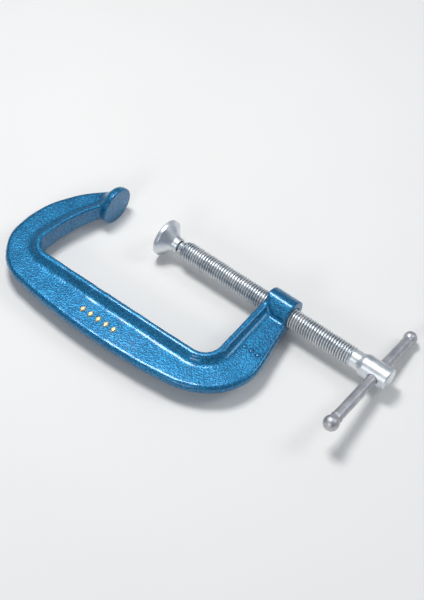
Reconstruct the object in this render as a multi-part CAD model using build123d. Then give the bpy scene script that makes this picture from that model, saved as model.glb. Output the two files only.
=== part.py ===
from build123d import *
import os
from math import sqrt

# A forged C clamp, lying on its side, in millimetres.
# +X is the screw axis, from the fixed anvil towards the handle.  +Z is normal to the plane of the C.
# The spine of the C is on the -Y side.  The origin is the centre of the anvil's flat face.

# Driving dimensions: the forged frame
throat_depth = 84.0          # screw axis to the inner side of the spine, at the screw arm
throat_lean = 3.0            # how much deeper the throat is at the fixed arm
screw_arm_x = 171.0          # inner side of the arm that carries the screw
fixed_arm_end = (-3.3, -8.6)      # throat side of the fixed arm, inside the anvil
fixed_arm_bow = (-18.8, -36.9)    # corner that the bowed fixed arm's large radius rounds
fixed_arm_foot_x = -23.9
throat_radii = [130.0, 14.0, 17.0]
flange_width = 6.5           # rib along the throat, measured in the plane of the C
flange_half = 10.7           # half of the rib's thickness
web_half = 5.0               # half of the web's thickness
rib_rounding = 1.8
web_rounding = 3.5
# Corners of the outer edge, and the radius that rounds each corner between the two ends
outer_corners = [
    (200.5, -16.0),
    (212.5, -84.0),
    (173.5, -116.5),
    (70.0, -131.7),
    (-56.1, -114.0),
    (-52.1, -31.0),
    (-18.0, 4.5),
    (-10.0, 10.0),
]
outer_radii = [51.0, 69.0, 560.0, 48.0, 100.0, 8.0]

# Driving dimensions: anvil and screw boss, both turned about the screw axis
anvil_radius = 18.0
anvil_back_x = -6.5
anvil_back_radius = 17.7
anvil_neck_x = -14.0
anvil_neck_radius = 7.0
boss_radius = 16.0
boss_end_x = 197.5
boss_chamfer = 1.5

# Driving dimensions: the screw, an M18 x 2.5 thread drawn as a plain cylinder of its outside diameter
pitch = 2.5
thread_depth = 1.5
thread_runout = 1.0
screw_radius = 8.95
bore_clearance = 0.08
thread_start_x = 80.0
thread_end_x = 260.5
nose_x = 77.8                # where the chamfer at the screw's front end begins
shank_radius = 8.2
shank_end_x = 270.0
head_start_x = 272.5
head_end_x = 298.5
head_radius = 10.4
head_chamfer = 1.0
neck_radius = 4.2
shoulder_x = 74.4            # short shoulder between the neck and the thread
shoulder_radius = 5.8
ball_radius = 5.2
ball_x = 67.9

# Driving dimensions: the swivel pad on the ball, and the snap ring that holds it there
pad_face_x = 55.4
pad_radius = 17.5
pad_rim = 4.0
collar_start_x = 68.7
collar_end_x = 73.2
collar_radius = 7.3
socket_radius = 5.4
ring_x = 71.0
ring_radius = 5.15
ring_wire = 0.72
ring_gap_angle = 30.0
groove_radius = 6.4
groove_half = 1.2

# Driving dimensions: the sliding bar, turned about the screw axis from the plane of the C
bar_angle = -10.0
bar_x = 286.5
bar_radius = 4.85
bar_clearance = 0.08
knob_at = -72.7
knob_radius = 6.9
knob_collar_radius = 5.5
knob_collar_length = 4.0
spigot_radius = 3.4
spigot_tip_at = -70.7
spigot_shoulder_at = -67.8
upset_at = 54.4
upset_radius = 6.3
upset_flare = 12.0


def inner_path():
    """Throat side of the C, from the anvil round to the screw boss."""
    return FilletPolyline(
        fixed_arm_end,
        fixed_arm_bow,
        (fixed_arm_foot_x, -throat_depth - throat_lean),
        (screw_arm_x, -throat_depth),
        (screw_arm_x, 0.0),
        radius=throat_radii,
    )


def turned(points):
    """Solid of revolution about the screw axis from a half profile of (x, radius) points."""
    first, last = points[0], points[-1]
    outline = Polyline((first[0], 0.0), *points, (last[0], 0.0), close=True)
    return revolve(make_face(outline), Axis.X)


def flat_edges(solid):
    """Edges of the solid's lowest and highest flat faces."""
    levels = solid.edges().group_by(Axis.Z)
    return levels[0] + levels[-1]


def c_frame():
    """One forging: web, rib along the throat, anvil and bored screw boss."""
    inner = inner_path()
    outer = FilletPolyline(*outer_corners, radius=outer_radii)
    anvil_side = Line(outer_corners[-1], fixed_arm_end)
    boss_side = Polyline((screw_arm_x, 0.0), (boss_end_x - boss_chamfer, 0.0), outer_corners[0])
    web = extrude(make_face([inner, outer, anvil_side, boss_side]), web_half, both=True)
    outer_edges = [e for e in flat_edges(web) if outer.distance_to(e @ 0.5) < 1.1 * web_half]
    web = fillet(outer_edges, web_rounding)
    rib = extrude(make_face(offset(inner, flange_width, side=Side.RIGHT)), flange_half, both=True)
    # The rounding runs on over tangent edges, so picking the long ones leaves only the rib's ends square
    rib = fillet([e for e in flat_edges(rib) if e.length > 1.1 * flange_width], rib_rounding)
    anvil = turned([
        (anvil_neck_x, anvil_neck_radius),
        (anvil_back_x, anvil_back_radius),
        (0.0, anvil_radius),
    ])
    boss = turned([
        (screw_arm_x, boss_radius),
        (boss_end_x - boss_chamfer, boss_radius),
        (boss_end_x, boss_radius - boss_chamfer),
    ])
    bore_radius = screw_radius + bore_clearance
    bore = turned([(screw_arm_x - pitch, bore_radius), (boss_end_x + pitch, bore_radius)])
    return web + rib + anvil + boss - bore


def spindle():
    """Screw with its ball tip, neck, head and the cross hole for the bar, in one piece."""
    body = turned([
        (ball_x, neck_radius),
        (shoulder_x, neck_radius),
        (shoulder_x, shoulder_radius),
        (nose_x, shoulder_radius),
        (nose_x, screw_radius - thread_depth),
        (thread_start_x, screw_radius),
        (thread_end_x, screw_radius),
        (thread_end_x + thread_runout, shank_radius),
        (shank_end_x, shank_radius),
        (head_start_x, head_radius),
        (head_end_x - head_chamfer, head_radius),
        (head_end_x, head_radius - head_chamfer),
    ])
    ball = Pos(ball_x, 0, 0) * Sphere(ball_radius)
    hole = Cylinder(bar_radius + bar_clearance, height=3 * head_radius)
    return body + ball - across(0.0) * hole


def swivel_pad():
    """Round pressure pad with a conical back and a collar bored for the ball."""
    body = turned([
        (pad_face_x, pad_radius),
        (pad_face_x + pad_rim, pad_radius),
        (collar_start_x, collar_radius),
        (collar_end_x, collar_radius),
    ])
    socket = Pos(ball_x, 0, 0) * Sphere(socket_radius)
    throat = turned([(ball_x, socket_radius), (collar_end_x, socket_radius)])
    groove = turned([(ring_x - groove_half, groove_radius), (ring_x + groove_half, groove_radius)])
    return body - socket - throat - groove


def pad_snap_ring():
    """Open wire ring behind the ball, in the groove of the pad's collar."""
    wire = Plane.XY * Pos(ring_x, ring_radius) * Circle(ring_wire)
    return revolve(wire, Axis.X, 360.0 - ring_gap_angle)


def across(distance):
    """Place on the bar's own axis, with local +Z along the bar, at a distance from the screw axis."""
    return Pos(bar_x, 0, 0) * Rot(bar_angle, 0, 0) * Rot(-90, 0, 0) * Pos(0, 0, distance)


def along_bar(points):
    """Solid of revolution about the bar's axis from a half profile of (distance, radius) points."""
    profile = [(radius, distance) for distance, radius in points]
    outline = Polyline((0.0, points[0][0]), *profile, (0.0, points[-1][0]), close=True)
    return across(0.0) * revolve(Plane.XZ * make_face(outline), Axis.Z)


def tommy_bar():
    """Sliding bar with one end upset to a ball and a spigot for the knob at the other."""
    half = upset_radius / 2
    flare_radius = sqrt(upset_radius**2 - half**2)
    rod = along_bar([
        (spigot_tip_at, spigot_radius),
        (spigot_shoulder_at, spigot_radius),
        (spigot_shoulder_at, bar_radius),
        (upset_at - upset_flare, bar_radius),
        (upset_at - half, flare_radius),
        (upset_at, flare_radius),
    ])
    return rod + across(upset_at) * Sphere(upset_radius)


def end_knob():
    """Round knob with a short collar, pressed on the bar's spigot."""
    collar_end = spigot_shoulder_at + knob_collar_length
    ball = across(knob_at) * Sphere(knob_radius)
    collar = along_bar([(knob_at, knob_collar_radius), (collar_end, knob_collar_radius)])
    socket = along_bar([(spigot_tip_at, spigot_radius), (spigot_shoulder_at, spigot_radius)])
    through = along_bar([(spigot_shoulder_at, bar_radius), (collar_end, bar_radius)])
    return ball + collar - socket - through


os.makedirs("parts", exist_ok=True)
for build in (c_frame, spindle, swivel_pad, pad_snap_ring, tommy_bar, end_knob):
    solid = build()
    export_step(solid, f"parts/{build.__name__}.step")
    box = solid.bounding_box()
    print(build.__name__, round(solid.volume), box.min, box.max)
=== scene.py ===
import math

import bmesh
import bpy
import numpy as np
from mathutils import Matrix, Vector


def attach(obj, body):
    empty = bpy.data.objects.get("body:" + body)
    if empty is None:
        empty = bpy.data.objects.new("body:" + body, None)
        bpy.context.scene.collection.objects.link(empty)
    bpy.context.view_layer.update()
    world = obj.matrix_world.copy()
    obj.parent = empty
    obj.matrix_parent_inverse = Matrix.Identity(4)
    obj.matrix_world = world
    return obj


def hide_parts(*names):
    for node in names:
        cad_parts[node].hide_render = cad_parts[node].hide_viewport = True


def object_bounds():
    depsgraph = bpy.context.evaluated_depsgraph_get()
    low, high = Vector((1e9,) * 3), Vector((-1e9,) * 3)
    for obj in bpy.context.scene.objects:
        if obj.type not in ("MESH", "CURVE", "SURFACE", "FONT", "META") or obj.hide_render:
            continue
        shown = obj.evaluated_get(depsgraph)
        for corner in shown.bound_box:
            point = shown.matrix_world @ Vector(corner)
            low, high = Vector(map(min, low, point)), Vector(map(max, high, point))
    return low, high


# Looks of a forged C clamp: hammertone-painted frame, zinc-plated screw and swivel pad, dull steel bar.
# Shapes are worked out in millimetres in the row frame and scaled to metres when a mesh is made.

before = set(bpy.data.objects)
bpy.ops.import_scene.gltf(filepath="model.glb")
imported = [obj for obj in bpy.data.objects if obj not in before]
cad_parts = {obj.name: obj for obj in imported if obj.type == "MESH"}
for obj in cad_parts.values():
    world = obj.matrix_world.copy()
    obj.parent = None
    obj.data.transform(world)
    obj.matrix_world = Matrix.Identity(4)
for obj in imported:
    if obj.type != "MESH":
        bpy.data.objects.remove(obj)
cad_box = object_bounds()
MM = 0.001

# Frame: throat side, outer edge, rib and web
THROAT_DEPTH = 84.0
THROAT_LEAN = 3.0
SCREW_ARM_X = 171.0
FIXED_ARM_END = (-3.3, -8.6)
FIXED_ARM_BOW = (-18.8, -36.9)
FIXED_ARM_FOOT_X = -23.9
INNER_RADII = (130.0, 14.0, 17.0)
OUTER_CORNERS = [
    (200.5, -16.0),
    (212.5, -84.0),
    (173.5, -116.5),
    (70.0, -131.7),
    (-56.1, -114.0),
    (-52.1, -31.0),
    (-18.0, 4.5),
    (-10.0, 10.0),
]
OUTER_RADII = (51.0, 69.0, 560.0, 48.0, 100.0, 8.0)
RIB_HALF = 10.7
RIB_HALF_AT_ANVIL = 9.0
RIB_TOP_WIDTH = 5.4
RIB_TOP_WIDTH_AT_ANVIL = 3.0
RIB_DRAFT = 0.36             # the rib widens by this much per unit of depth below its top
WEB_HALF = 5.0
WEB_START = 5.0              # the web begins this far inside the rib
RIB_ROUNDING = 2.2
WEB_ROUNDING = 4.6
RIB_FILLET = 6.0
BOSS_FILLET = 2.8
ANVIL_FILLET = 3.4
RIB_OVERHANG = 2.0           # how far the rib may stand out past the web's outline
PARTING_RIDGE = 0.28
PARTING_RIDGE_WIDTH = 0.8
FIXED_ARM_SIDE = 60.0        # the rib tapers towards the anvil only where x is below this
SCREW_ARM_SIDE = 80.0        # nothing bulges into the throat where x is above this

# Unevenness of the forging: a sum of slow waves
WAVE_HEIGHT = 0.14
WAVE_COUNT = 7
WAVE_LENGTHS = (14.0, 36.0)
WAVE_SEED = 7
FACE_FADE = 8.0              # the unevenness dies away over this length towards the anvil's face

# Anvil and boss, as (x, radius) points where they are corners
ANVIL_NECK = (-14.0, 7.0)
ANVIL_BACK = (-6.5, 17.7)
ANVIL_FRONT = (0.0, 18.0)
ANVIL_BACK_ROUNDING = 2.4
ANVIL_FRONT_ROUNDING = 1.3
BOSS_RADIUS = 16.0
BOSS_END = 197.5
BOSS_ROUNDING = 1.1
BORE_RADIUS = 9.15
BORE_LEAD = 10.0             # the bore's cut begins this far in front of the boss
COUNTERSINK = 1.3
BOSS_FACET_TILT = math.radians(26.0)
BOSS_FACET_AT = 14.6         # distance of the facet on the web's side from the screw axis
BOSS_FOOT_Y = -12.5          # the raised boss ends here, above the web
BOSS_CORNER = (172.2, -3.0)  # and on a slanted line through here, beside the rib
BOSS_CORNER_FACES = (-0.725, -0.689)    # direction in which that side faces
BOSS_FACET_ROUNDING = 1.5
BOSS_FOOT_ROUNDING = 4.0     # of the turn between the foot and the slanted line
BOSS_STEP_ROUNDING = 2.0     # at the top of the step down to the sleeve
BOSS_STEP_FILLET = 2.0       # and at its bottom
SLEEVE_RADIUS = 12.4

# Screw
PITCH = 2.5
SCREW_RADIUS = 8.95
ROOT_RADIUS = 7.42
# One turn of the thread, as (share of the turn, radius) points from crest to crest
THREAD_PROFILE = [
    (0.0, SCREW_RADIUS - 0.1),
    (0.05, SCREW_RADIUS),
    (0.19, SCREW_RADIUS),
    (0.24, SCREW_RADIUS - 0.1),
    (0.53, ROOT_RADIUS + 0.08),
    (0.61, ROOT_RADIUS),
    (0.69, ROOT_RADIUS + 0.08),
]
THREAD_END = 261.5
ROOT_RISE_START = 2.2 * PITCH    # before the thread's end, where its root starts to rise to the shank
ROOT_RISE = 2.0 * PITCH          # length over which it rises
CREST_FALL = 0.6 * PITCH         # length over which the crest falls to the shank
NOSE_X = 77.8
# The turned nose that the thread starts on, as (distance behind NOSE_X, radius) points
NOSE_PROFILE = [(0.0, 6.0), (0.6, 6.8), (2.2, 7.9), (4.2, 8.8), (5.0, SCREW_RADIUS)]
THREAD_START = NOSE_X + 1.2
NECK_RADIUS = 4.2
NECK_RUN = 1.5               # straight end of the neck, in front of the shoulder
SHOULDER_X = 74.4
SHOULDER_RADIUS = 5.8
SHOULDER_END = NOSE_X - 0.3
BALL_X = 67.9
BALL_RADIUS = 5.2
SHANK_RADIUS = 8.2
SHANK_END = 268.5
HEAD_START = 273.0
HEAD_END = 298.5
HEAD_RADIUS = 10.4
HEAD_CHAMFER = (1.1, 1.3)    # along the head and across it
HEAD_DISH = 0.25             # how much lower the head's end is in the middle than at its rim
SCREW_SEGMENTS = 48

# Pad and snap ring
PAD_FACE = 55.4
PAD_RADIUS = 17.5
PAD_RIM = 4.0
COLLAR_START = (68.1, 7.4)   # (x, radius) where the conical back meets the collar
COLLAR_END = (73.2, 7.0)
SOCKET_RADIUS = 5.4
RING_X = 71.0
RING_RADIUS = 5.15
RING_WIRE = 0.72
RING_GAP = math.radians(30.0)
GROOVE_HALF = 1.2
GROOVE_RADIUS = 6.4

# Bar
BAR_X = 286.5
BAR_TURN = math.radians(-10.0)
BAR_RADIUS = 4.85
BAR_CLEARANCE = 0.09         # between the bar and its hole in the head
UPSET_AT = 54.4
UPSET_RADIUS = 6.3
UPSET_FLARE = 12.0
UPSET_MEETS = 128.0          # angle from the bar's axis at which the flare runs into the ball, in degrees
KNOB_AT = -72.7
KNOB_RADIUS = 6.9
KNOB_MEETS = 58.0            # angle at which the knob's ball runs into its collar, in degrees
KNOB_COLLAR_RADIUS = 5.5
KNOB_COLLAR_END = -63.8
KNOB_CHAMFER = 0.35
KNOB_BORE_DEPTH = 3.8
KNOB_CLEARANCE = 0.03
SPIGOT_RADIUS = 3.4
SPIGOT_LENGTH = 2.8
# Staking marks on the knob's end: degrees off the bar's axis, degrees round it, and size
STAKING_MARKS = [(24, 20, 1.1), (27, 150, 0.9), (22, 265, 1.0)]
STAKING_DEPTH = 0.45

# Plain ornament on the web: lozenges on the spine and domes on the screw's arm
LOZENGE_COUNT = 5
LOZENGE_FIRST = (54.0, -109.4)
LOZENGE_SPACING = 8.6
LOZENGE_HALF = (2.6, 4.0)
LOZENGE_RISE = 0.9
LOZENGE_BEVEL_AT = 0.4       # share of the rise at which the bevel begins
LOZENGE_TOP = 0.62           # size of the top as a share of the foot
PIP_COUNT = 3
PIP_FIRST = (185.2, -52.4)
PIP_SPACING = 7.0
PIP_DOME = [(0.0, 2.5), (0.5, 2.4), (0.9, 1.9), (1.15, 1.1), (1.25, 0.0)]
PIP_FOOT_RADIUS = 2.6
ORNAMENT_SUNK = 0.6          # how far the ornament's foot is sunk in the web

# Grid that the forging is sampled on, with odd fractions so that no plane of it lies in a flat face
VOXEL = 0.9
GRID_LOW = (-58.13, -129.37, -21.21)
GRID_HIGH = (211.0, 21.0, 21.3)


# ---------------------------------------------------------------- outlines

def filleted(corners, radii, step=1.0):
    """Points along an open path of straight runs, each inner corner rounded with its own radius."""
    corners = [np.array(c, float) for c in corners]
    path = [corners[0]]
    for before, corner, after, radius in zip(corners, corners[1:], corners[2:], radii):
        back = (before - corner) / np.linalg.norm(before - corner)
        onward = (after - corner) / np.linalg.norm(after - corner)
        half = math.acos(np.clip(back @ onward, -1, 1)) / 2
        if radius <= 0 or half > math.radians(89.9):
            path.append(corner)
            continue
        middle = (back + onward) / np.linalg.norm(back + onward)
        centre = corner + middle * radius / math.sin(half)
        first = corner + back * radius / math.tan(half) - centre
        last = corner + onward * radius / math.tan(half) - centre
        turn = math.pi - 2 * half
        count = max(3, math.ceil(radius * turn / step))
        for i in range(count + 1):
            a, b = math.sin(turn * (1 - i / count)), math.sin(turn * i / count)
            path.append(centre + (first * a + last * b) / math.sin(turn))
    path.append(corners[-1])
    return np.array(path)


def signed_distance(x, y, loop):
    """Distance from (x, y) to a closed loop of points, negative inside it."""
    square = np.full(np.broadcast(x, y).shape, np.inf)
    inside = np.zeros(square.shape, bool)
    for (ax, ay), (bx, by) in zip(loop, np.roll(loop, -1, axis=0)):
        ex, ey = bx - ax, by - ay
        if ex == 0 and ey == 0:
            continue
        wx, wy = x - ax, y - ay
        along = np.clip((wx * ex + wy * ey) / (ex * ex + ey * ey), 0, 1)
        square = np.minimum(square, (wx - ex * along) ** 2 + (wy - ey * along) ** 2)
        if ey != 0:
            inside ^= ((ay > y) != (by > y)) & (wx < ex * wy / ey)
    return np.where(inside, -1.0, 1.0) * np.sqrt(square)


INNER_PATH = filleted([
    FIXED_ARM_END,
    FIXED_ARM_BOW,
    (FIXED_ARM_FOOT_X, -THROAT_DEPTH - THROAT_LEAN),
    (SCREW_ARM_X, -THROAT_DEPTH),
    (SCREW_ARM_X, 0.0),
], INNER_RADII)
WEB_LOOP = np.vstack([
    INNER_PATH,
    [(BOSS_END - BOSS_ROUNDING, 0.0)],
    filleted(OUTER_CORNERS, OUTER_RADII, step=2.0),
])
REACH = 90.0                 # deeper than any place in the frame, and well past its open side
ARM_LEAN = (FIXED_ARM_END[0] - FIXED_ARM_BOW[0]) / (FIXED_ARM_END[1] - FIXED_ARM_BOW[1])
THROAT_LOOP = np.vstack([
    [(FIXED_ARM_END[0] + ARM_LEAN * REACH, FIXED_ARM_END[1] + REACH)],
    INNER_PATH,
    [(SCREW_ARM_X, REACH)],
])


def both_sides(profile):
    """Closed loop of a half profile of (x, radius) points and its mirror image."""
    profile = np.array(profile, float)
    return np.vstack([profile, profile[::-1] * (1, -1)])


BOSS_CORE = both_sides([
    (SCREW_ARM_X + BOSS_ROUNDING, BOSS_RADIUS - BOSS_ROUNDING),
    (BOSS_END - BOSS_ROUNDING, BOSS_RADIUS - BOSS_ROUNDING),
])


# ---------------------------------------------------------------- the frame as one smooth solid

def smooth_min(a, b, width):
    """The lower of a and b, with a fillet about that wide where they meet."""
    near = np.clip(width - np.abs(a - b), 0, None) / width
    return np.minimum(a, b) - near * near * width / 4


def smooth_max(a, b, width):
    """The higher of a and b, with an edge rounded about that wide where they meet."""
    return -smooth_min(-a, -b, width)


def wave(x, y, z):
    """Slow unevenness of a forged surface, mostly between -1 and 1."""
    draw = np.random.default_rng(WAVE_SEED)
    total = 0.0
    for _ in range(WAVE_COUNT):
        direction = draw.normal(size=3)
        direction /= np.linalg.norm(direction)
        length = draw.uniform(*WAVE_LENGTHS)
        phase = draw.uniform(0, 2 * math.pi)
        along = x * direction[0] + y * direction[1] + z * direction[2]
        total = total + np.sin(along * 2 * math.pi / length + phase)
    return total / math.sqrt(WAVE_COUNT)


def cone(x, radius, first, last):
    """Distance outside the cone about the X axis through two (x, radius) points."""
    dx, dr = last[0] - first[0], last[1] - first[1]
    return ((radius - first[1]) * dx - (x - first[0]) * dr) / math.hypot(dx, dr)


def anvil_field(x, radius):
    """Distance to the surface of the anvil, which flares from its neck to its flat face."""
    flare = cone(x, radius, ANVIL_NECK, ANVIL_BACK)
    rim = cone(x, radius, ANVIL_BACK, ANVIL_FRONT)
    side = smooth_max(flare, rim, ANVIL_BACK_ROUNDING)
    return smooth_max(side, x, ANVIL_FRONT_ROUNDING)


def boss_field(x, y, radius, depth):
    """Distance to the surface of the screw boss, which is cut back to a sleeve beside the web and the rib."""
    whole = signed_distance(x, radius, BOSS_CORE) - BOSS_ROUNDING
    facet = depth * math.cos(BOSS_FACET_TILT) - y * math.sin(BOSS_FACET_TILT) - BOSS_FACET_AT
    corner = (x - BOSS_CORNER[0]) * BOSS_CORNER_FACES[0] + (y - BOSS_CORNER[1]) * BOSS_CORNER_FACES[1]
    above = smooth_max(BOSS_FOOT_Y - y, corner, BOSS_FOOT_ROUNDING)
    raised = smooth_max(smooth_max(whole, facet, BOSS_FACET_ROUNDING), above, BOSS_STEP_ROUNDING)
    sleeve = whole + BOSS_RADIUS - SLEEVE_RADIUS
    return smooth_min(raised, sleeve, BOSS_STEP_FILLET)


def frame_field(x, y, z):
    """Distance to the forged frame's surface, negative inside it."""
    depth = np.abs(z)
    radius = np.sqrt(y * y + z * z)
    outline = signed_distance(x, y, WEB_LOOP)
    from_throat = signed_distance(x, y, THROAT_LOOP)

    ridge = PARTING_RIDGE * np.exp(-(z / PARTING_RIDGE_WIDTH) ** 2)
    web = smooth_max(outline - ridge, depth - WEB_HALF, WEB_ROUNDING)
    web = np.maximum(web, WEB_START - from_throat)

    along_arm = np.clip((y + THROAT_DEPTH) / (THROAT_DEPTH + FIXED_ARM_END[1]), 0, 1)
    tapering = np.where(x < FIXED_ARM_SIDE, along_arm, 0.0)
    half = RIB_HALF + (RIB_HALF_AT_ANVIL - RIB_HALF) * tapering
    top = RIB_TOP_WIDTH + (RIB_TOP_WIDTH_AT_ANVIL - RIB_TOP_WIDTH) * tapering
    side = (from_throat - top - RIB_DRAFT * (half - depth)) / math.hypot(1, RIB_DRAFT)
    rib = smooth_max(smooth_max(side, -from_throat, RIB_ROUNDING), depth - half, RIB_ROUNDING)
    rib = np.maximum(rib, outline - RIB_OVERHANG)

    body = smooth_min(web, rib, RIB_FILLET)
    body = smooth_min(body, boss_field(x, y, radius, depth), BOSS_FILLET)
    body = smooth_min(body, anvil_field(x, radius), ANVIL_FILLET)
    from_face = np.maximum(np.abs(x), radius - ANVIL_FRONT[1])
    body = body + WAVE_HEIGHT * wave(x, y, z) * np.clip(from_face / FACE_FADE, 0, 1)
    body = np.maximum(body, np.where(x > SCREW_ARM_SIDE, -from_throat, -REACH))

    mouth = np.maximum(SCREW_ARM_X + COUNTERSINK - x, x - BOSS_END + COUNTERSINK)
    bore = BORE_RADIUS + np.clip(mouth, 0, COUNTERSINK) - radius
    bore = np.where(x > SCREW_ARM_X - BORE_LEAD, bore, -REACH)
    return np.maximum(body, bore)


def surface_net(field, low, step):
    """Vertices and quads of the zero surface of a field sampled on a grid, facing the positive side."""
    shape = np.array(field.shape)
    cells = shape - 1
    total = np.zeros((3, *cells))
    count = np.zeros(cells)
    inside = field < 0
    crossings = []
    for axis in range(3):
        head = [slice(None)] * 3
        tail = [slice(None)] * 3
        head[axis] = slice(0, -1)
        tail[axis] = slice(1, None)
        a, b = field[tuple(head)], field[tuple(tail)]
        crossed = inside[tuple(head)] != inside[tuple(tail)]
        where = np.argwhere(crossed)
        crossings.append((axis, where, inside[tuple(head)][crossed]))
        place = where.astype(float)
        place[:, axis] += a[crossed] / (a[crossed] - b[crossed])
        u, v = (axis + 1) % 3, (axis + 2) % 3
        for du in (0, 1):
            for dv in (0, 1):
                cell = where.copy()
                cell[:, u] -= du
                cell[:, v] -= dv
                index = tuple(cell.T)
                np.add.at(count, index, 1)
                for k in range(3):
                    np.add.at(total[k], index, place[:, k])
    used = count > 0
    number = np.full(cells, -1)
    number[used] = np.arange(used.sum())
    vertices = (total[:, used] / count[used]).T * step + low
    quads = []
    for axis, where, outward in crossings:
        u, v = (axis + 1) % 3, (axis + 2) % 3
        ring = []
        for du, dv in ((1, 1), (0, 1), (0, 0), (1, 0)):
            cell = where.copy()
            cell[:, u] -= du
            cell[:, v] -= dv
            ring.append(number[tuple(cell.T)])
        ring = np.array(ring).T
        quads.append(np.where(outward[:, None], ring, ring[:, ::-1]))
    return vertices, np.vstack(quads)


def gradient(field, points, reach=0.05):
    """Direction in which the field grows fastest, times how fast it does."""
    slope = np.empty_like(points)
    for axis in range(3):
        offset = np.zeros(3)
        offset[axis] = reach
        slope[:, axis] = (field(*(points + offset).T) - field(*(points - offset).T)) / (2 * reach)
    return slope


def settle(field, points, longest=0.6, flattest=0.2):
    """Points moved onto the zero surface of the field, in two moves of limited length."""
    for _ in range(2):
        slope = gradient(field, points)
        steepness = np.maximum((slope * slope).sum(1), flattest)
        move = -field(*points.T)[:, None] * slope / steepness[:, None]
        size = np.linalg.norm(move, axis=1, keepdims=True)
        points = points + move * np.minimum(1, longest / np.maximum(size, 1e-9))
    return points


def relaxed(points, quads):
    """Points moved half way to the mean of their neighbours."""
    total = np.zeros_like(points)
    count = np.zeros(len(points))
    for side in range(4):
        a, b = quads[:, side], quads[:, (side + 1) % 4]
        np.add.at(total, a, points[b])
        np.add.at(total, b, points[a])
        np.add.at(count, a, 1)
        np.add.at(count, b, 1)
    return (points + total / count[:, None]) / 2


def forged_mesh():
    """Vertices and quads of the whole forging."""
    axes = [np.arange(low, high, VOXEL) for low, high in zip(GRID_LOW, GRID_HIGH)]
    grid = np.meshgrid(*axes, indexing="ij", sparse=True)
    vertices, quads = surface_net(frame_field(*grid), GRID_LOW, VOXEL)
    for _ in range(2):
        vertices = settle(frame_field, relaxed(vertices, quads))
    return vertices, quads.tolist()


# ---------------------------------------------------------------- mesh helpers

def make_object(name, vertices, faces, merge=0.0, sharp_over=None):
    """Mesh object from points in millimetres, smooth shaded apart from edges sharper than an angle."""
    mesh = bpy.data.meshes.new(name)
    mesh.from_pydata((np.asarray(vertices) * MM).tolist(), [], faces)
    mesh.validate()
    mesh.update()
    piece = bpy.data.objects.new(name, mesh)
    bpy.context.scene.collection.objects.link(piece)
    if merge:
        tidy_mesh(mesh, merge * MM)
    mesh.shade_smooth()
    if sharp_over is not None:
        mesh.set_sharp_from_angle(angle=math.radians(sharp_over))
    return piece


def tidy_mesh(mesh, distance):
    """Merges points that coincide, drops faces without area and turns all faces outward."""
    work = bmesh.new()
    work.from_mesh(mesh)
    bmesh.ops.remove_doubles(work, verts=work.verts, dist=distance)
    bmesh.ops.dissolve_degenerate(work, edges=work.edges, dist=distance)
    bmesh.ops.recalc_face_normals(work, faces=work.faces)
    work.to_mesh(mesh)
    work.free()


def split_runs(path, longest):
    """The path with every run longer than a length divided evenly."""
    points = [path[0]]
    for a, b in zip(path, path[1:]):
        count = math.ceil(np.linalg.norm(b - a) / longest)
        points += [a + (b - a) * (i + 1) / count for i in range(count)]
    return points


def lathe_grid(profile, segments):
    """Points and faces of a half profile of (x, radius) points turned about the X axis."""
    profile = np.asarray(profile, float)
    angle = np.arange(segments) * 2 * math.pi / segments
    x = np.repeat(profile[:, :1], segments, axis=1)
    y = profile[:, 1:] * np.cos(angle)
    z = profile[:, 1:] * np.sin(angle)
    points = np.stack([x, y, z], axis=2).reshape(-1, 3)
    return points, band_faces(len(profile), segments)


def band_faces(rows, segments):
    """Quads between closed rings of points that follow one another."""
    faces = []
    for i in range(rows - 1):
        below, above = i * segments, (i + 1) * segments
        for j in range(segments):
            k = (j + 1) % segments
            faces.append((below + j, below + k, above + k, above + j))
    return faces


def joined(*parts):
    """Several (points, faces) as one."""
    points, faces, start = [], [], 0
    for some_points, some_faces in parts:
        points.append(some_points)
        faces.extend(tuple(start + i for i in face) for face in some_faces)
        start += len(some_points)
    return np.vstack(points), faces


def cut_out(piece, cutter):
    """Cuts a cutter's shape out of a piece with an exact boolean and removes the cutter."""
    modifier = piece.modifiers.new("cut", "BOOLEAN")
    modifier.operation = "DIFFERENCE"
    modifier.solver = "EXACT"
    modifier.object = cutter
    bpy.context.view_layer.update()
    evaluated = piece.evaluated_get(bpy.context.evaluated_depsgraph_get())
    mesh = bpy.data.meshes.new_from_object(evaluated)
    piece.modifiers.clear()
    old = piece.data
    piece.data = mesh
    mesh.name = piece.name
    bpy.data.meshes.remove(old)
    bpy.data.objects.remove(cutter)


# ---------------------------------------------------------------- screw

def thread_grid(start, end, segments):
    """Right-hand thread between two places on the X axis, running out at both."""
    turns = math.ceil((end - start) / PITCH) + 2
    phase = np.array([turn + share for turn in range(turns) for share, _ in THREAD_PROFILE])
    radius = np.array([r for _ in range(turns) for _, r in THREAD_PROFILE])
    around = np.arange(segments) / segments
    x = start + PITCH * (phase[:, None] - 1.0 + around)
    r = np.broadcast_to(radius[:, None], x.shape)
    rise = np.clip((x - end + ROOT_RISE_START) / ROOT_RISE, 0, 1)
    fall = np.clip((end - x) / CREST_FALL, 0, 1)
    lowest = ROOT_RADIUS + (SHANK_RADIUS - ROOT_RADIUS) * rise
    highest = SHANK_RADIUS + (SCREW_RADIUS - SHANK_RADIUS) * fall
    r = np.minimum(np.minimum(np.maximum(r, lowest), nose_radius(x)), highest)
    r = np.where(x <= start, nose_radius(start), np.where(x >= end, SHANK_RADIUS, r))
    x = np.clip(x, start, end)
    angle = around * 2 * math.pi
    points = np.stack([x, r * np.cos(angle), r * np.sin(angle)], axis=2).reshape(-1, 3)
    faces = []
    for i in range(len(phase) - 1):
        for j in range(segments):
            ring = [(i, j), (i, j + 1), (i + 1, j + 1), (i + 1, j)]
            ring = [(a, b) if b < segments else (a + len(THREAD_PROFILE), 0) for a, b in ring]
            if all(a < len(phase) for a, _ in ring):
                faces.append(tuple(a * segments + b for a, b in ring))
    return points, faces


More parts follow.
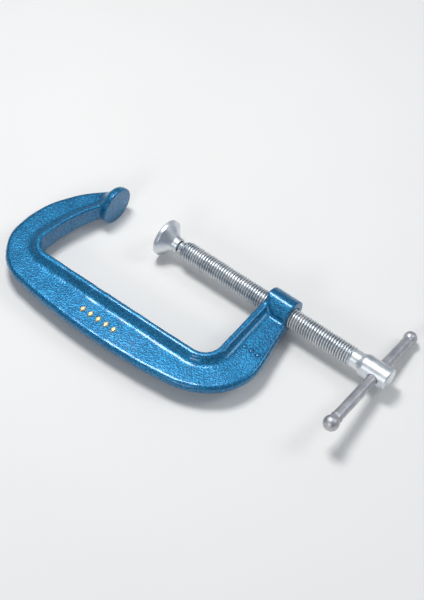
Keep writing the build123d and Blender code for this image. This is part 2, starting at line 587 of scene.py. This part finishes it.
def nose_radius(x):
    """Radius of the turned nose that the thread starts on."""
    behind, radii = zip(*NOSE_PROFILE)
    return np.interp(x, [NOSE_X + distance for distance in behind], radii)


def ball_profile(centre, radius, first, last, steps):
    """Points of a half circle about (centre, 0) between two angles from the +X axis, in degrees."""
    angles = np.radians(np.linspace(first, last, steps))
    return [(centre + radius * math.cos(a), radius * math.sin(a)) for a in angles]


def make_spindle():
    """Ball tip, neck, thread, plain shank and head with its cross hole."""
    neck_meets = math.degrees(math.asin(NECK_RADIUS / BALL_RADIUS))
    tip = ball_profile(BALL_X, BALL_RADIUS, 180, neck_meets, 14)
    tip[0] = (BALL_X - BALL_RADIUS, 0.0)
    nose = [NOSE_X + distance for distance, _ in NOSE_PROFILE[:2]] + [THREAD_START]
    tip += filleted([
        (SHOULDER_X - NECK_RUN, NECK_RADIUS),
        (SHOULDER_X, NECK_RADIUS),
        (SHOULDER_X, SHOULDER_RADIUS),
        (SHOULDER_END, SHOULDER_RADIUS),
        *[(x, nose_radius(x)) for x in nose],
    ], [0.4, 0.4, 0, 0, 0], step=0.2).tolist()
    head = filleted([
        (THREAD_END, SHANK_RADIUS),
        (SHANK_END, SHANK_RADIUS),
        (HEAD_START, HEAD_RADIUS),
        (HEAD_END - HEAD_CHAMFER[0], HEAD_RADIUS),
        (HEAD_END, HEAD_RADIUS - HEAD_CHAMFER[1]),
        (HEAD_END - HEAD_DISH, 0.0),
    ], [6.0, 5.0, 0.9, 0.9], step=0.5)
    parts = joined(lathe_grid(tip, SCREW_SEGMENTS),
                   thread_grid(THREAD_START, THREAD_END, SCREW_SEGMENTS),
                   lathe_grid(split_runs(head, 0.9), SCREW_SEGMENTS))
    spindle = make_object("screw_spindle", *parts, merge=0.004)
    cut_out(spindle, hole_cutter())
    tidy_mesh(spindle.data, 0.002 * MM)
    spindle.data.shade_smooth()
    spindle.data.set_sharp_from_angle(angle=math.radians(38))
    return spindle


def hole_cutter():
    """Cutter for the bar's hole, flared where it comes out of the round head."""
    segments = 56
    hole = BAR_RADIUS + BAR_CLEARANCE
    # (radius, height above the head's surface) of each ring at one mouth, from outside in
    rings = [(hole + 1.6, 1.6), (hole + 0.45, 0.02), (hole + 0.12, -0.22), (hole, -0.7)]
    around = np.arange(segments) * 2 * math.pi / segments
    points = []
    for side in (-1, 1):
        for radius, proud in (rings if side < 0 else rings[::-1]):
            x, y = radius * np.cos(around), radius * np.sin(around)
            surface = np.sqrt(HEAD_RADIUS ** 2 - y ** 2) + proud
            points.append(np.stack([x, y, side * surface], axis=1))
    points = np.vstack(points)
    count = 2 * len(rings)
    faces = band_faces(count, segments)
    faces.append(tuple(reversed(range(segments))))
    faces.append(tuple(range((count - 1) * segments, count * segments)))
    cutter = make_object("hole_cutter", points, faces)
    cutter.data.transform(bar_place())
    return cutter


def bar_place():
    """Matrix that puts local +Z along the bar, with the local origin on the screw's axis."""
    return (Matrix.Translation((BAR_X * MM, 0, 0)) @ Matrix.Rotation(BAR_TURN, 4, "X")
            @ Matrix.Rotation(math.radians(-90), 4, "X"))


def on_bar(piece):
    """Puts a piece turned about X on the bar's axis, its X distances measured along the bar."""
    piece.data.transform(bar_place() @ Matrix.Rotation(math.radians(-90), 4, "Y"))
    return piece


# ---------------------------------------------------------------- pad, ring, bar and knob

def make_pad():
    """Round pad with a conical back and a collar round the ball."""
    outer = filleted([
        (PAD_FACE, 0.0),
        (PAD_FACE, PAD_RADIUS),
        (PAD_FACE + PAD_RIM, PAD_RADIUS),
        COLLAR_START,
        COLLAR_END,
        (COLLAR_END[0], SOCKET_RADIUS),
        (RING_X + GROOVE_HALF, SOCKET_RADIUS),
        (RING_X + GROOVE_HALF, GROOVE_RADIUS),
        (RING_X - GROOVE_HALF, GROOVE_RADIUS),
        (RING_X - GROOVE_HALF, SOCKET_RADIUS),
    ], [1.1, 0.9, 1.6, 0.7, 0.4, 0, 0, 0], step=0.3)
    socket = ball_profile(BALL_X, SOCKET_RADIUS, 90, 180, 10)
    socket[-1] = (BALL_X - SOCKET_RADIUS, 0.0)
    points, faces = lathe_grid(list(outer) + socket, 72)
    return make_object("pressure_pad", points, faces, merge=0.004, sharp_over=35)


def make_ring():
    """Open wire ring in the collar's groove."""
    sections, around = 40, 12
    points = []
    for i in range(sections + 1):
        turn = RING_GAP / 2 + (2 * math.pi - RING_GAP) * i / sections
        for j in range(around):
            angle = 2 * math.pi * j / around
            x = RING_X + RING_WIRE * math.sin(angle)
            radius = RING_RADIUS + RING_WIRE * math.cos(angle)
            points.append((x, radius * math.cos(turn), radius * math.sin(turn)))
    faces = []
    for i in range(sections):
        for j in range(around):
            k = (j + 1) % around
            faces.append((i * around + j, (i + 1) * around + j, (i + 1) * around + k, i * around + k))
    faces.append(tuple(range(around)))
    faces.append(tuple(reversed(range(sections * around, (sections + 1) * around))))
    return make_object("snap_ring", points, faces, merge=0.001, sharp_over=60)


def make_bar():
    """Sliding bar, one end upset to a ball through a long flare."""
    shoulder = KNOB_COLLAR_END - KNOB_BORE_DEPTH
    spigot_tip = shoulder - SPIGOT_LENGTH
    flare_start = UPSET_AT - UPSET_FLARE
    spigot = [(spigot_tip, 0.0), (spigot_tip, SPIGOT_RADIUS), (shoulder, SPIGOT_RADIUS)]
    rod = [(shoulder + step, BAR_RADIUS) for step in np.linspace(0, flare_start - shoulder, 24)[:-1]]
    ball = ball_profile(UPSET_AT, UPSET_RADIUS, UPSET_MEETS, 0, 18)
    ball[-1] = (UPSET_AT + UPSET_RADIUS, 0.0)
    meet_x, meet_radius = ball[0]
    flare = [(flare_start + (meet_x - flare_start) * t,
              BAR_RADIUS + (meet_radius - BAR_RADIUS) * t * t) for t in np.linspace(0, 1, 7)[:-1]]
    points, faces = lathe_grid(spigot + rod + flare + ball, 48)
    return on_bar(make_object("sliding_bar", points, faces, merge=0.004, sharp_over=40))


def make_knob():
    """Knob whose ball runs into its collar along a cubic, with staking marks on its end."""
    ball = ball_profile(KNOB_AT, KNOB_RADIUS, 180, KNOB_MEETS, 36)
    ball[0] = (KNOB_AT - KNOB_RADIUS, 0.0)
    last_x, last_radius = ball[-1]
    length = KNOB_COLLAR_END - last_x
    slope = -length / math.tan(math.radians(KNOB_MEETS))
    blend = [(last_x + length * t,
              last_radius * (1 + 2 * t) * (1 - t) ** 2 + slope * t * (1 - t) ** 2
              + KNOB_COLLAR_RADIUS * t * t * (3 - 2 * t))
             for t in np.linspace(0, 1, 13)[1:-1]]
    bore = BAR_RADIUS + KNOB_CLEARANCE
    bore_end = KNOB_COLLAR_END - KNOB_BORE_DEPTH
    mouth = [
        (KNOB_COLLAR_END - KNOB_CHAMFER, KNOB_COLLAR_RADIUS),
        (KNOB_COLLAR_END, KNOB_COLLAR_RADIUS - KNOB_CHAMFER),
        (KNOB_COLLAR_END, bore),
        (bore_end, bore),
        (bore_end, 0.0),
    ]
    points, faces = lathe_grid(ball + blend + mouth, 96)
    for angle_out, angle_round, size in STAKING_MARKS:
        out, turn = math.radians(angle_out), math.radians(angle_round)
        direction = np.array([-math.cos(out), math.sin(out) * math.cos(turn), math.sin(out) * math.sin(turn)])
        centre = np.array([KNOB_AT, 0, 0]) + direction * KNOB_RADIUS
        near = np.linalg.norm(points - centre, axis=1) / size
        points = points - direction * (STAKING_DEPTH * np.exp(-near ** 4))[:, None]
    return on_bar(make_object("bar_knob", points, faces, merge=0.004, sharp_over=45))


# ---------------------------------------------------------------- raised marks on the frame

def lozenge(centre_x, centre_y):
    """Points and faces of a small raised lozenge with a bevelled top, on the web."""
    half_width, half_height = LOZENGE_HALF
    levels = [
        (1.0, WEB_HALF - ORNAMENT_SUNK),
        (1.0, WEB_HALF + LOZENGE_RISE * LOZENGE_BEVEL_AT),
        (LOZENGE_TOP, WEB_HALF + LOZENGE_RISE),
    ]
    points = []
    for size, z in levels:
        for dx, dy in ((1, 0), (0, 1), (-1, 0), (0, -1)):
            points.append((centre_x + dx * half_width * size, centre_y + dy * half_height * size, z))
    faces = [(3, 2, 1, 0), (8, 9, 10, 11)]
    return np.array(points), faces + band_faces(len(levels), 4)


def make_spine_marks():
    """Raised lozenges in a row on the spine, plain ornament."""
    first_x, y = LOZENGE_FIRST
    parts = [lozenge(first_x + LOZENGE_SPACING * i, y) for i in range(LOZENGE_COUNT)]
    return make_object("spine_lozenges", *joined(*parts), sharp_over=20)


def make_arm_marks():
    """Raised domes in a row on the screw's arm, plain ornament."""
    foot = [(-ORNAMENT_SUNK, 0.0), (-ORNAMENT_SUNK, PIP_FOOT_RADIUS)]
    points, faces = lathe_grid(foot + PIP_DOME, 24)
    upright = np.stack([points[:, 1], points[:, 2], points[:, 0]], axis=1)
    first_x, y = PIP_FIRST
    parts = [(upright + (first_x + PIP_SPACING * i, y, WEB_HALF), faces) for i in range(PIP_COUNT)]
    return make_object("arm_pips", *joined(*parts), merge=0.004, sharp_over=50)


# ---------------------------------------------------------------- materials

def new_material(name):
    """A node material, with its nodes, its links and its shader."""
    material = bpy.data.materials.new(name)
    material.use_nodes = True
    nodes, links = material.node_tree.nodes, material.node_tree.links
    return material, nodes, links, nodes["Principled BSDF"]


def place_node(nodes, links, scale=(1.0, 1.0, 1.0)):
    """Object coordinates, scaled along each axis."""
    where = nodes.new("ShaderNodeTexCoord")
    mapping = nodes.new("ShaderNodeMapping")
    mapping.inputs["Scale"].default_value = scale
    links.new(where.outputs["Object"], mapping.inputs["Vector"])
    return mapping.outputs["Vector"]


def noise_node(nodes, links, vector, scale, detail):
    """Noise from 0 to 1."""
    noise = nodes.new("ShaderNodeTexNoise")
    noise.inputs["Scale"].default_value = scale
    noise.inputs["Detail"].default_value = detail
    noise.inputs["Roughness"].default_value = 0.55
    links.new(vector, noise.inputs["Vector"])
    return noise.outputs["Fac"]


def ramp_node(nodes, links, value, stops):
    """Color ramp through (position, color) stops."""
    ramp = nodes.new("ShaderNodeValToRGB")
    elements = ramp.color_ramp.elements
    for element, (position, color) in zip(elements, (stops[0], stops[-1])):
        element.position = position
        element.color = (*color, 1)
    for position, color in stops[1:-1]:
        elements.new(position).color = (*color, 1)
    links.new(value, ramp.inputs["Fac"])
    return ramp.outputs["Color"]


def bump_node(nodes, links, height, distance, strength, normal=None):
    """Normal bumped by a height, on top of another bumped normal if there is one."""
    bump = nodes.new("ShaderNodeBump")
    bump.inputs["Distance"].default_value = distance
    bump.inputs["Strength"].default_value = strength
    links.new(height, bump.inputs["Height"])
    if normal is not None:
        links.new(normal, bump.inputs["Normal"])
    return bump.outputs["Normal"]


def scaled_sum(nodes, links, value, factor, other):
    """A value times a factor, plus another value."""
    total = nodes.new("ShaderNodeMath")
    total.operation = "MULTIPLY_ADD"
    total.inputs[1].default_value = factor
    links.new(value, total.inputs[0])
    links.new(other, total.inputs[2])
    return total.outputs[0]


def grey(value):
    """A color without hue."""
    return (value, value, value)


def hammertone():
    """Glossy blue hammertone paint: light and dark mottle over dimples, broadly uneven."""
    material, nodes, links, shader = new_material("blue_hammertone")
    place = place_node(nodes, links)
    cells = nodes.new("ShaderNodeTexVoronoi")
    cells.feature = "SMOOTH_F1"
    cells.inputs["Scale"].default_value = 780.0
    cells.inputs["Smoothness"].default_value = 0.6
    cells.inputs["Randomness"].default_value = 1.0
    links.new(place, cells.inputs["Vector"])
    fine = noise_node(nodes, links, place, 1200.0, 3.0)
    broad = noise_node(nodes, links, place, 38.0, 2.0)
    mottle = scaled_sum(nodes, links, cells.outputs["Distance"], 0.55, fine)
    mottle = scaled_sum(nodes, links, broad, 0.2, mottle)
    color = ramp_node(nodes, links, mottle, [
        (0.68, (0.001, 0.065, 0.165)),
        (0.85, (0.002, 0.120, 0.270)),
        (1.00, (0.008, 0.225, 0.450)),
    ])
    links.new(color, shader.inputs["Base Color"])
    shader.inputs["Metallic"].default_value = 0.5
    rough = ramp_node(nodes, links, fine, [(0.3, grey(0.32)), (0.7, grey(0.44))])
    links.new(rough, shader.inputs["Roughness"])
    shader.inputs["Specular IOR Level"].default_value = 0.35
    shader.inputs["Coat Weight"].default_value = 0.6
    shader.inputs["Coat Roughness"].default_value = 0.13
    dimples = bump_node(nodes, links, cells.outputs["Distance"], 0.00030, 0.7)
    links.new(bump_node(nodes, links, fine, 0.00008, 0.5, dimples), shader.inputs["Normal"])
    return material


def bright_zinc(name, threaded):
    """Bright zinc plate with fine turning marks; painted shade darkens the thread's root if there is one."""
    material, nodes, links, shader = new_material(name)
    place = place_node(nodes, links)
    cloud = noise_node(nodes, links, place, 90.0, 3.0)
    color = ramp_node(nodes, links, cloud, [
        (0.30, (0.60, 0.65, 0.70)),
        (0.55, (0.76, 0.79, 0.82)),
        (0.75, (0.86, 0.86, 0.85)),
    ])
    if threaded:
        color = darkened_root(nodes, links, place, color)
    links.new(color, shader.inputs["Base Color"])
    shader.inputs["Metallic"].default_value = 1.0
    marks = noise_node(nodes, links, place_node(nodes, links, (2600.0, 60.0, 60.0)), 1.0, 2.0)
    rough = ramp_node(nodes, links, cloud, [(0.3, grey(0.36)), (0.7, grey(0.48))])
    links.new(rough, shader.inputs["Roughness"])
    links.new(bump_node(nodes, links, marks, 0.00003, 0.5), shader.inputs["Normal"])
    return material


def darkened_root(nodes, links, place, color):
    """The color, darker the nearer to the screw axis, along the thread only: painted shade in the thread's
    root.
    """
    parts = nodes.new("ShaderNodeSeparateXYZ")
    links.new(place, parts.inputs["Vector"])
    flat = nodes.new("ShaderNodeCombineXYZ")
    links.new(parts.outputs["Y"], flat.inputs["Y"])
    links.new(parts.outputs["Z"], flat.inputs["Z"])
    radius = nodes.new("ShaderNodeVectorMath")
    radius.operation = "LENGTH"
    links.new(flat.outputs["Vector"], radius.inputs[0])
    # painted shade: none near the crest, strongest at the thread's root
    painted_root_shade = nodes.new("ShaderNodeMapRange")
    painted_root_shade.inputs["From Min"].default_value = (SCREW_RADIUS - 0.25) * MM
    painted_root_shade.inputs["From Max"].default_value = ROOT_RADIUS * MM
    painted_root_shade.inputs["To Max"].default_value = 0.6
    links.new(radius.outputs["Value"], painted_root_shade.inputs["Value"])
    on_thread = nodes.new("ShaderNodeMath")
    on_thread.operation = "COMPARE"
    on_thread.inputs[1].default_value = (NOSE_X + THREAD_END) / 2 * MM
    on_thread.inputs[2].default_value = (THREAD_END - NOSE_X) / 2 * MM
    links.new(parts.outputs["X"], on_thread.inputs[0])
    share = nodes.new("ShaderNodeMath")
    share.operation = "MULTIPLY"
    links.new(painted_root_shade.outputs["Result"], share.inputs[0])
    links.new(on_thread.outputs[0], share.inputs[1])
    mixed = nodes.new("ShaderNodeMixRGB")
    links.new(share.outputs[0], mixed.inputs["Fac"])
    links.new(color, mixed.inputs["Color1"])
    # color of the painted shade in the root
    mixed.inputs["Color2"].default_value = (0.045, 0.055, 0.065, 1)
    return mixed.outputs["Color"]


def dull_steel():
    """Plain grey steel, cloudy and covered in small spots."""
    material, nodes, links, shader = new_material("dull_steel")
    place = place_node(nodes, links)
    cloud = noise_node(nodes, links, place, 120.0, 4.0)
    spots = noise_node(nodes, links, place, 1500.0, 3.0)
    color = ramp_node(nodes, links, cloud, [
        (0.28, (0.36, 0.36, 0.40)),
        (0.50, (0.50, 0.50, 0.53)),
        (0.72, (0.62, 0.62, 0.62)),
    ])
    links.new(color, shader.inputs["Base Color"])
    shader.inputs["Metallic"].default_value = 1.0
    rough = ramp_node(nodes, links, spots, [(0.3, grey(0.42)), (0.7, grey(0.56))])
    links.new(rough, shader.inputs["Roughness"])
    links.new(bump_node(nodes, links, spots, 0.00005, 0.4), shader.inputs["Normal"])
    return material


def spring_steel():
    """Dark oiled wire."""
    material, nodes, links, shader = new_material("dark_spring_steel")
    cloud = noise_node(nodes, links, place_node(nodes, links), 500.0, 3.0)
    color = ramp_node(nodes, links, cloud, [(0.3, (0.03, 0.03, 0.035)), (0.7, (0.09, 0.09, 0.10))])
    links.new(color, shader.inputs["Base Color"])
    shader.inputs["Metallic"].default_value = 1.0
    rough = ramp_node(nodes, links, cloud, [(0.3, grey(0.35)), (0.7, grey(0.5))])
    links.new(rough, shader.inputs["Roughness"])
    return material


def gold_paint():
    """Gold enamel of uneven depth."""
    material, nodes, links, shader = new_material("gold_enamel")
    cloud = noise_node(nodes, links, place_node(nodes, links), 900.0, 3.0)
    color = ramp_node(nodes, links, cloud, [(0.35, (0.50, 0.38, 0.17)), (0.65, (0.74, 0.62, 0.36))])
    links.new(color, shader.inputs["Base Color"])
    shader.inputs["Metallic"].default_value = 0.7
    rough = ramp_node(nodes, links, cloud, [(0.3, grey(0.3)), (0.7, grey(0.45))])
    links.new(rough, shader.inputs["Roughness"])
    return material


def floor_material():
    """Plain pale floor."""
    material, nodes, links, shader = new_material("pale_floor")
    cloud = noise_node(nodes, links, place_node(nodes, links), 3.0, 2.0)
    color = ramp_node(nodes, links, cloud, [(0.3, (0.80, 0.79, 0.77)), (0.7, (0.83, 0.82, 0.80))])
    links.new(color, shader.inputs["Base Color"])
    shader.inputs["Roughness"].default_value = 0.8
    return material


# ---------------------------------------------------------------- pieces on their bodies

def dress(piece, material, body, node=None):
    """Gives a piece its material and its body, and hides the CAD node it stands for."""
    piece.data.materials.clear()
    piece.data.materials.append(material)
    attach(piece, body)
    if node:
        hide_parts(node)


paint = hammertone()
zinc = bright_zinc("bright_zinc", threaded=False)
steel = dull_steel()

dress(make_object("forged_frame", *forged_mesh()), paint, "frame", "c_frame")
dress(make_spine_marks(), gold_paint(), "frame")
dress(make_arm_marks(), paint, "frame")
dress(make_spindle(), bright_zinc("threaded_zinc", threaded=True), "screw", "spindle")
dress(make_pad(), zinc, "pad", "swivel_pad")
dress(make_ring(), spring_steel(), "carrier", "pad_snap_ring")
dress(make_bar(), steel, "handle", "tommy_bar")
dress(make_knob(), steel, "handle", "end_knob")


# ---------------------------------------------------------------- camera, floor and light

def make_camera():
    """Camera over the screw side of the clamp, looking down at it."""
    azimuth, elevation, roll = math.radians(35.08), math.radians(54.28), math.radians(3.45)
    target = Vector((0.13204, -0.02878, 0.0))
    distance = 1.0824
    back = Vector((math.sin(azimuth) * math.cos(elevation), -math.cos(azimuth) * math.cos(elevation),
                   math.sin(elevation)))
    right = Vector((0, 0, 1)).cross(back).normalized()
    up = back.cross(right)
    rolled_right = right * math.cos(roll) + up * math.sin(roll)
    rolled_up = up * math.cos(roll) - right * math.sin(roll)
    data = bpy.data.cameras.new("camera")
    data.lens = 74.46
    data.sensor_width = 36.0
    camera = bpy.data.objects.new("camera", data)
    turn = Matrix((rolled_right, rolled_up, back)).transposed().to_4x4()
    camera.matrix_world = Matrix.Translation(target + back * distance) @ turn
    bpy.context.scene.collection.objects.link(camera)
    bpy.context.scene.camera = camera


def make_floor():
    """Large flat floor just under the lowest point of the clamp."""
    half = 4.0
    gap = 0.0002
    level = cad_box[0].z - gap
    corners = [(-half, -half, level), (half, -half, level), (half, half, level), (-half, half, level)]
    mesh = bpy.data.meshes.new("floor")
    mesh.from_pydata(corners, [], [(0, 1, 2, 3)])
    floor = bpy.data.objects.new("floor", mesh)
    bpy.context.scene.collection.objects.link(floor)
    mesh.materials.append(floor_material())


def softbox(name, direction, distance, size, power, color=(1, 1, 1)):
    """Area light that faces the middle of the clamp from a direction."""
    data = bpy.data.lights.new(name, "AREA")
    data.shape = "RECTANGLE"
    data.size, data.size_y = size
    data.energy = power
    data.color = color
    light = bpy.data.objects.new(name, data)
    middle = (cad_box[0] + cad_box[1]) / 2
    toward = Vector(direction).normalized()
    light.location = middle + toward * distance
    light.rotation_euler = toward.to_track_quat("Z", "Y").to_euler()
    bpy.context.scene.collection.objects.link(light)


def make_world():
    """Dim, faintly blue surroundings."""
    world = bpy.data.worlds.new("studio")
    bpy.context.scene.world = world
    world.use_nodes = True
    background = world.node_tree.nodes["Background"]
    background.inputs["Color"].default_value = (0.80, 0.86, 0.95, 1)
    background.inputs["Strength"].default_value = 0.35


make_camera()
make_floor()
make_world()
bpy.context.scene.view_settings.view_transform = "Standard"
softbox("overhead", direction=(-0.30, 0.11, 0.95), distance=1.2, size=(0.34, 0.34), power=9.5)
softbox("side", direction=(0.54, 0.48, 0.71), distance=1.6, size=(0.55, 0.55), power=4.5,
        color=(0.93, 0.97, 1.0))
softbox("front", direction=(0.1, -0.9, 0.5), distance=1.6, size=(0.6, 0.4), power=5.0)
